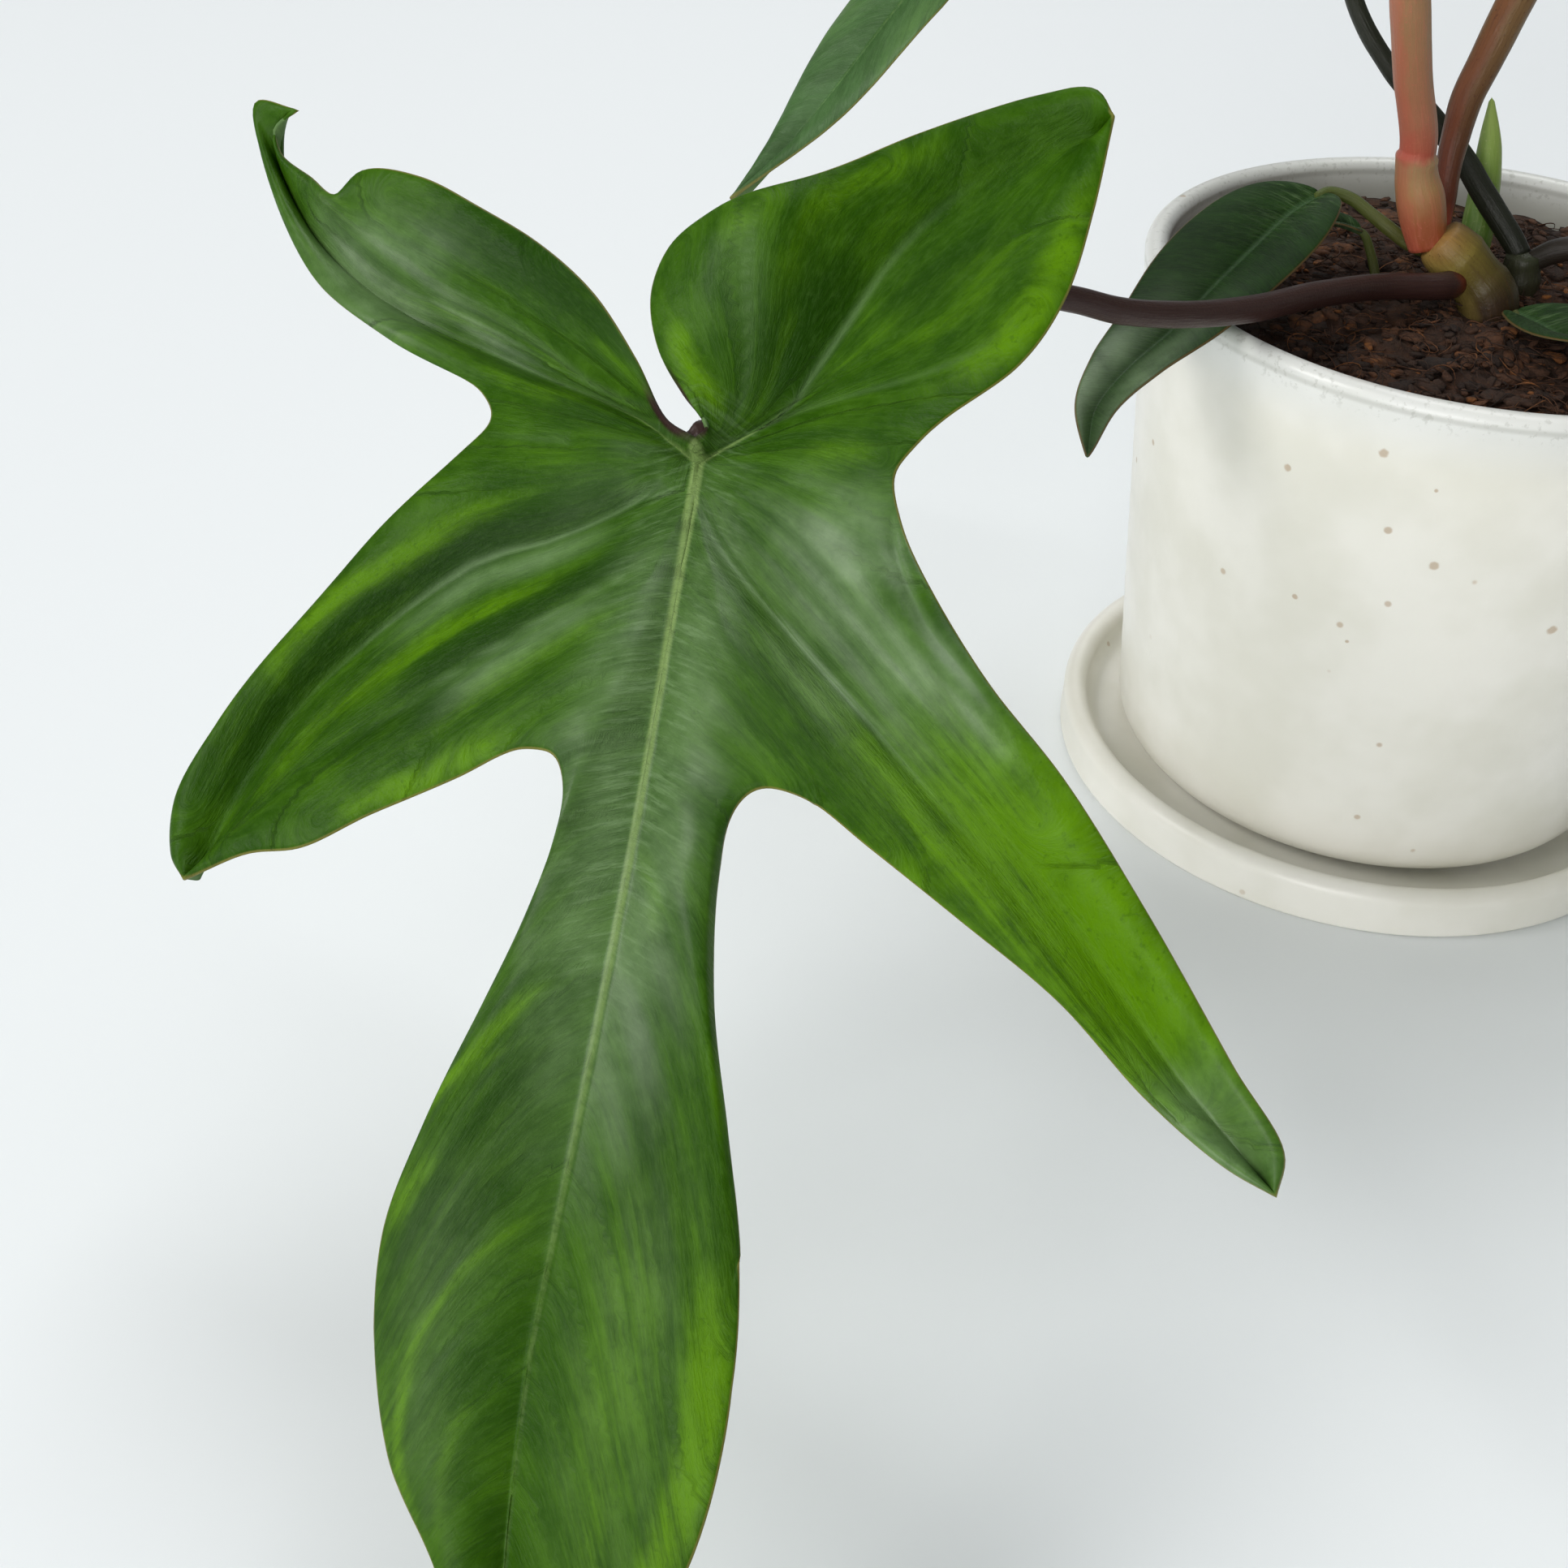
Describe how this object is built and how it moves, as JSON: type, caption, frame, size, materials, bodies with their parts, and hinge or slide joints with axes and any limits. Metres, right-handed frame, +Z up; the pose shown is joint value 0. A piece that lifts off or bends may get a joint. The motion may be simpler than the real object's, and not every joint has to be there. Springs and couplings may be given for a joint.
{
  "type": "potted philodendron",
  "caption": "Young climbing philodendron with large lobed green leaves on long stalks, growing from bark mix in a round tapered glazed pot that stands in a low saucer.",
  "frame": {"origin": "on the pot's axis, at the flat underside of the saucer, on the floor", "axes": "+Z up along the pot's axis; +X to the right and +Y away as seen from the picture's camera"},
  "size_m": [0.4158, 0.4205, 0.2997],
  "materials": {
    "pot_glaze": "cream-white satin glaze with small tan specks",
    "saucer_glaze": "cream-white satin glaze",
    "bark_mix": "rough dark bark and coir",
    "stem_olive": "waxy olive bark with leaf scars",
    "stalk_purple": "waxy dark purple skin",
    "stalk_pink": "waxy pink and peach skin",
    "stalk_brown": "waxy red-brown skin",
    "stalk_dark": "waxy green-black skin",
    "stalk_green": "waxy olive-green skin",
    "shoot_green": "waxy green skin",
    "leaf_green": "satin waxy leaf with paler ribs and veins",
    "young_green": "satin young leaf with a pale midrib"
  },
  "bodies": {
    "root": {"pot": "pot_glaze", "saucer": "saucer_glaze", "soil": "bark_mix", "main_stem": "stem_olive", "side_stem": "stem_olive", "new_shoot": "shoot_green", "front_stalk": "stalk_purple", "low_stalk": "stalk_purple", "pink_stalk": "stalk_pink", "brown_stalk": "stalk_brown", "dark_stalk": "stalk_dark", "rim_stalk": "stalk_green", "small_stalk": "stalk_green", "soil_stalk": "stalk_green", "front_leaf": "leaf_green", "upright_leaf": "leaf_green", "side_leaf": "leaf_green", "back_leaf": "leaf_green", "low_leaf": "leaf_green", "rim_leaf": "young_green", "small_leaf": "young_green", "soil_leaf": "young_green"}
  },
  "joints": []
}
